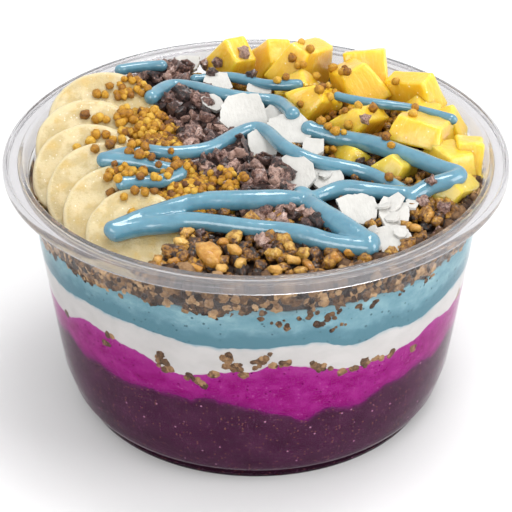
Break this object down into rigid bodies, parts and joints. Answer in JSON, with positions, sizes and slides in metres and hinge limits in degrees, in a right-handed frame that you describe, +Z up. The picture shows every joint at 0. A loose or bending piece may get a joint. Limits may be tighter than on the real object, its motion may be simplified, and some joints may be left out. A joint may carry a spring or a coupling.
{
  "type": "acai bowl",
  "caption": "Clear round deli bowl of blended fruit in coloured layers, topped with granola, banana slices, bee pollen, cacao nibs, coconut chips, pineapple chunks and blue drizzle.",
  "frame": {"origin": "centre of the bowl's base, on the surface it stands on", "axes": "+Z up; -Y towards the front, where the granola shows; -X towards the banana slices"},
  "size_m": [0.15, 0.15, 0.0924],
  "materials": {
    "clear": "clear, thin, smooth plastic",
    "acai": "dark purple blended fruit, moist",
    "pitaya": "bright magenta blended fruit, moist",
    "yogurt": "white, smooth, moist",
    "blue": "pale blue, smooth, moist",
    "granola": "toasted golden brown clusters",
    "banana": "pale yellow cut fruit, moist",
    "pineapple": "yellow cut fruit, wet",
    "coconut": "white dry flakes",
    "cacao": "dark brown broken nibs, dry",
    "pollen": "golden grains, dry",
    "drizzle": "blue, thick, glossy"
  },
  "bodies": {
    "root": {"bowl": "clear", "acai_layer": "acai", "pitaya_layer": "pitaya", "yogurt_layer": "yogurt", "blue_layer": "blue", "granola": "granola", "banana_1": "banana", "banana_2": "banana", "banana_3": "banana", "banana_4": "banana", "banana_5": "banana", "banana_6": "banana", "pineapple_1": "pineapple", "pineapple_2": "pineapple", "pineapple_3": "pineapple", "pineapple_4": "pineapple", "pineapple_5": "pineapple", "pineapple_6": "pineapple", "pineapple_7": "pineapple", "pineapple_8": "pineapple", "pineapple_9": "pineapple", "pineapple_10": "pineapple", "pineapple_11": "pineapple", "pineapple_12": "pineapple", "pineapple_13": "pineapple", "pineapple_14": "pineapple", "pineapple_15": "pineapple", "pineapple_16": "pineapple", "pineapple_17": "pineapple", "coconut_1": "coconut", "coconut_2": "coconut", "coconut_3": "coconut", "coconut_4": "coconut", "coconut_5": "coconut", "coconut_6": "coconut", "coconut_7": "coconut", "coconut_8": "coconut", "coconut_9": "coconut", "coconut_10": "coconut", "coconut_11": "coconut", "coconut_12": "coconut", "coconut_13": "coconut", "coconut_14": "coconut", "cacao_nibs": "cacao", "bee_pollen": "pollen", "drizzle_1": "drizzle", "drizzle_2": "drizzle", "drizzle_3": "drizzle", "drizzle_4": "drizzle", "drizzle_5": "drizzle"}
  },
  "joints": []
}
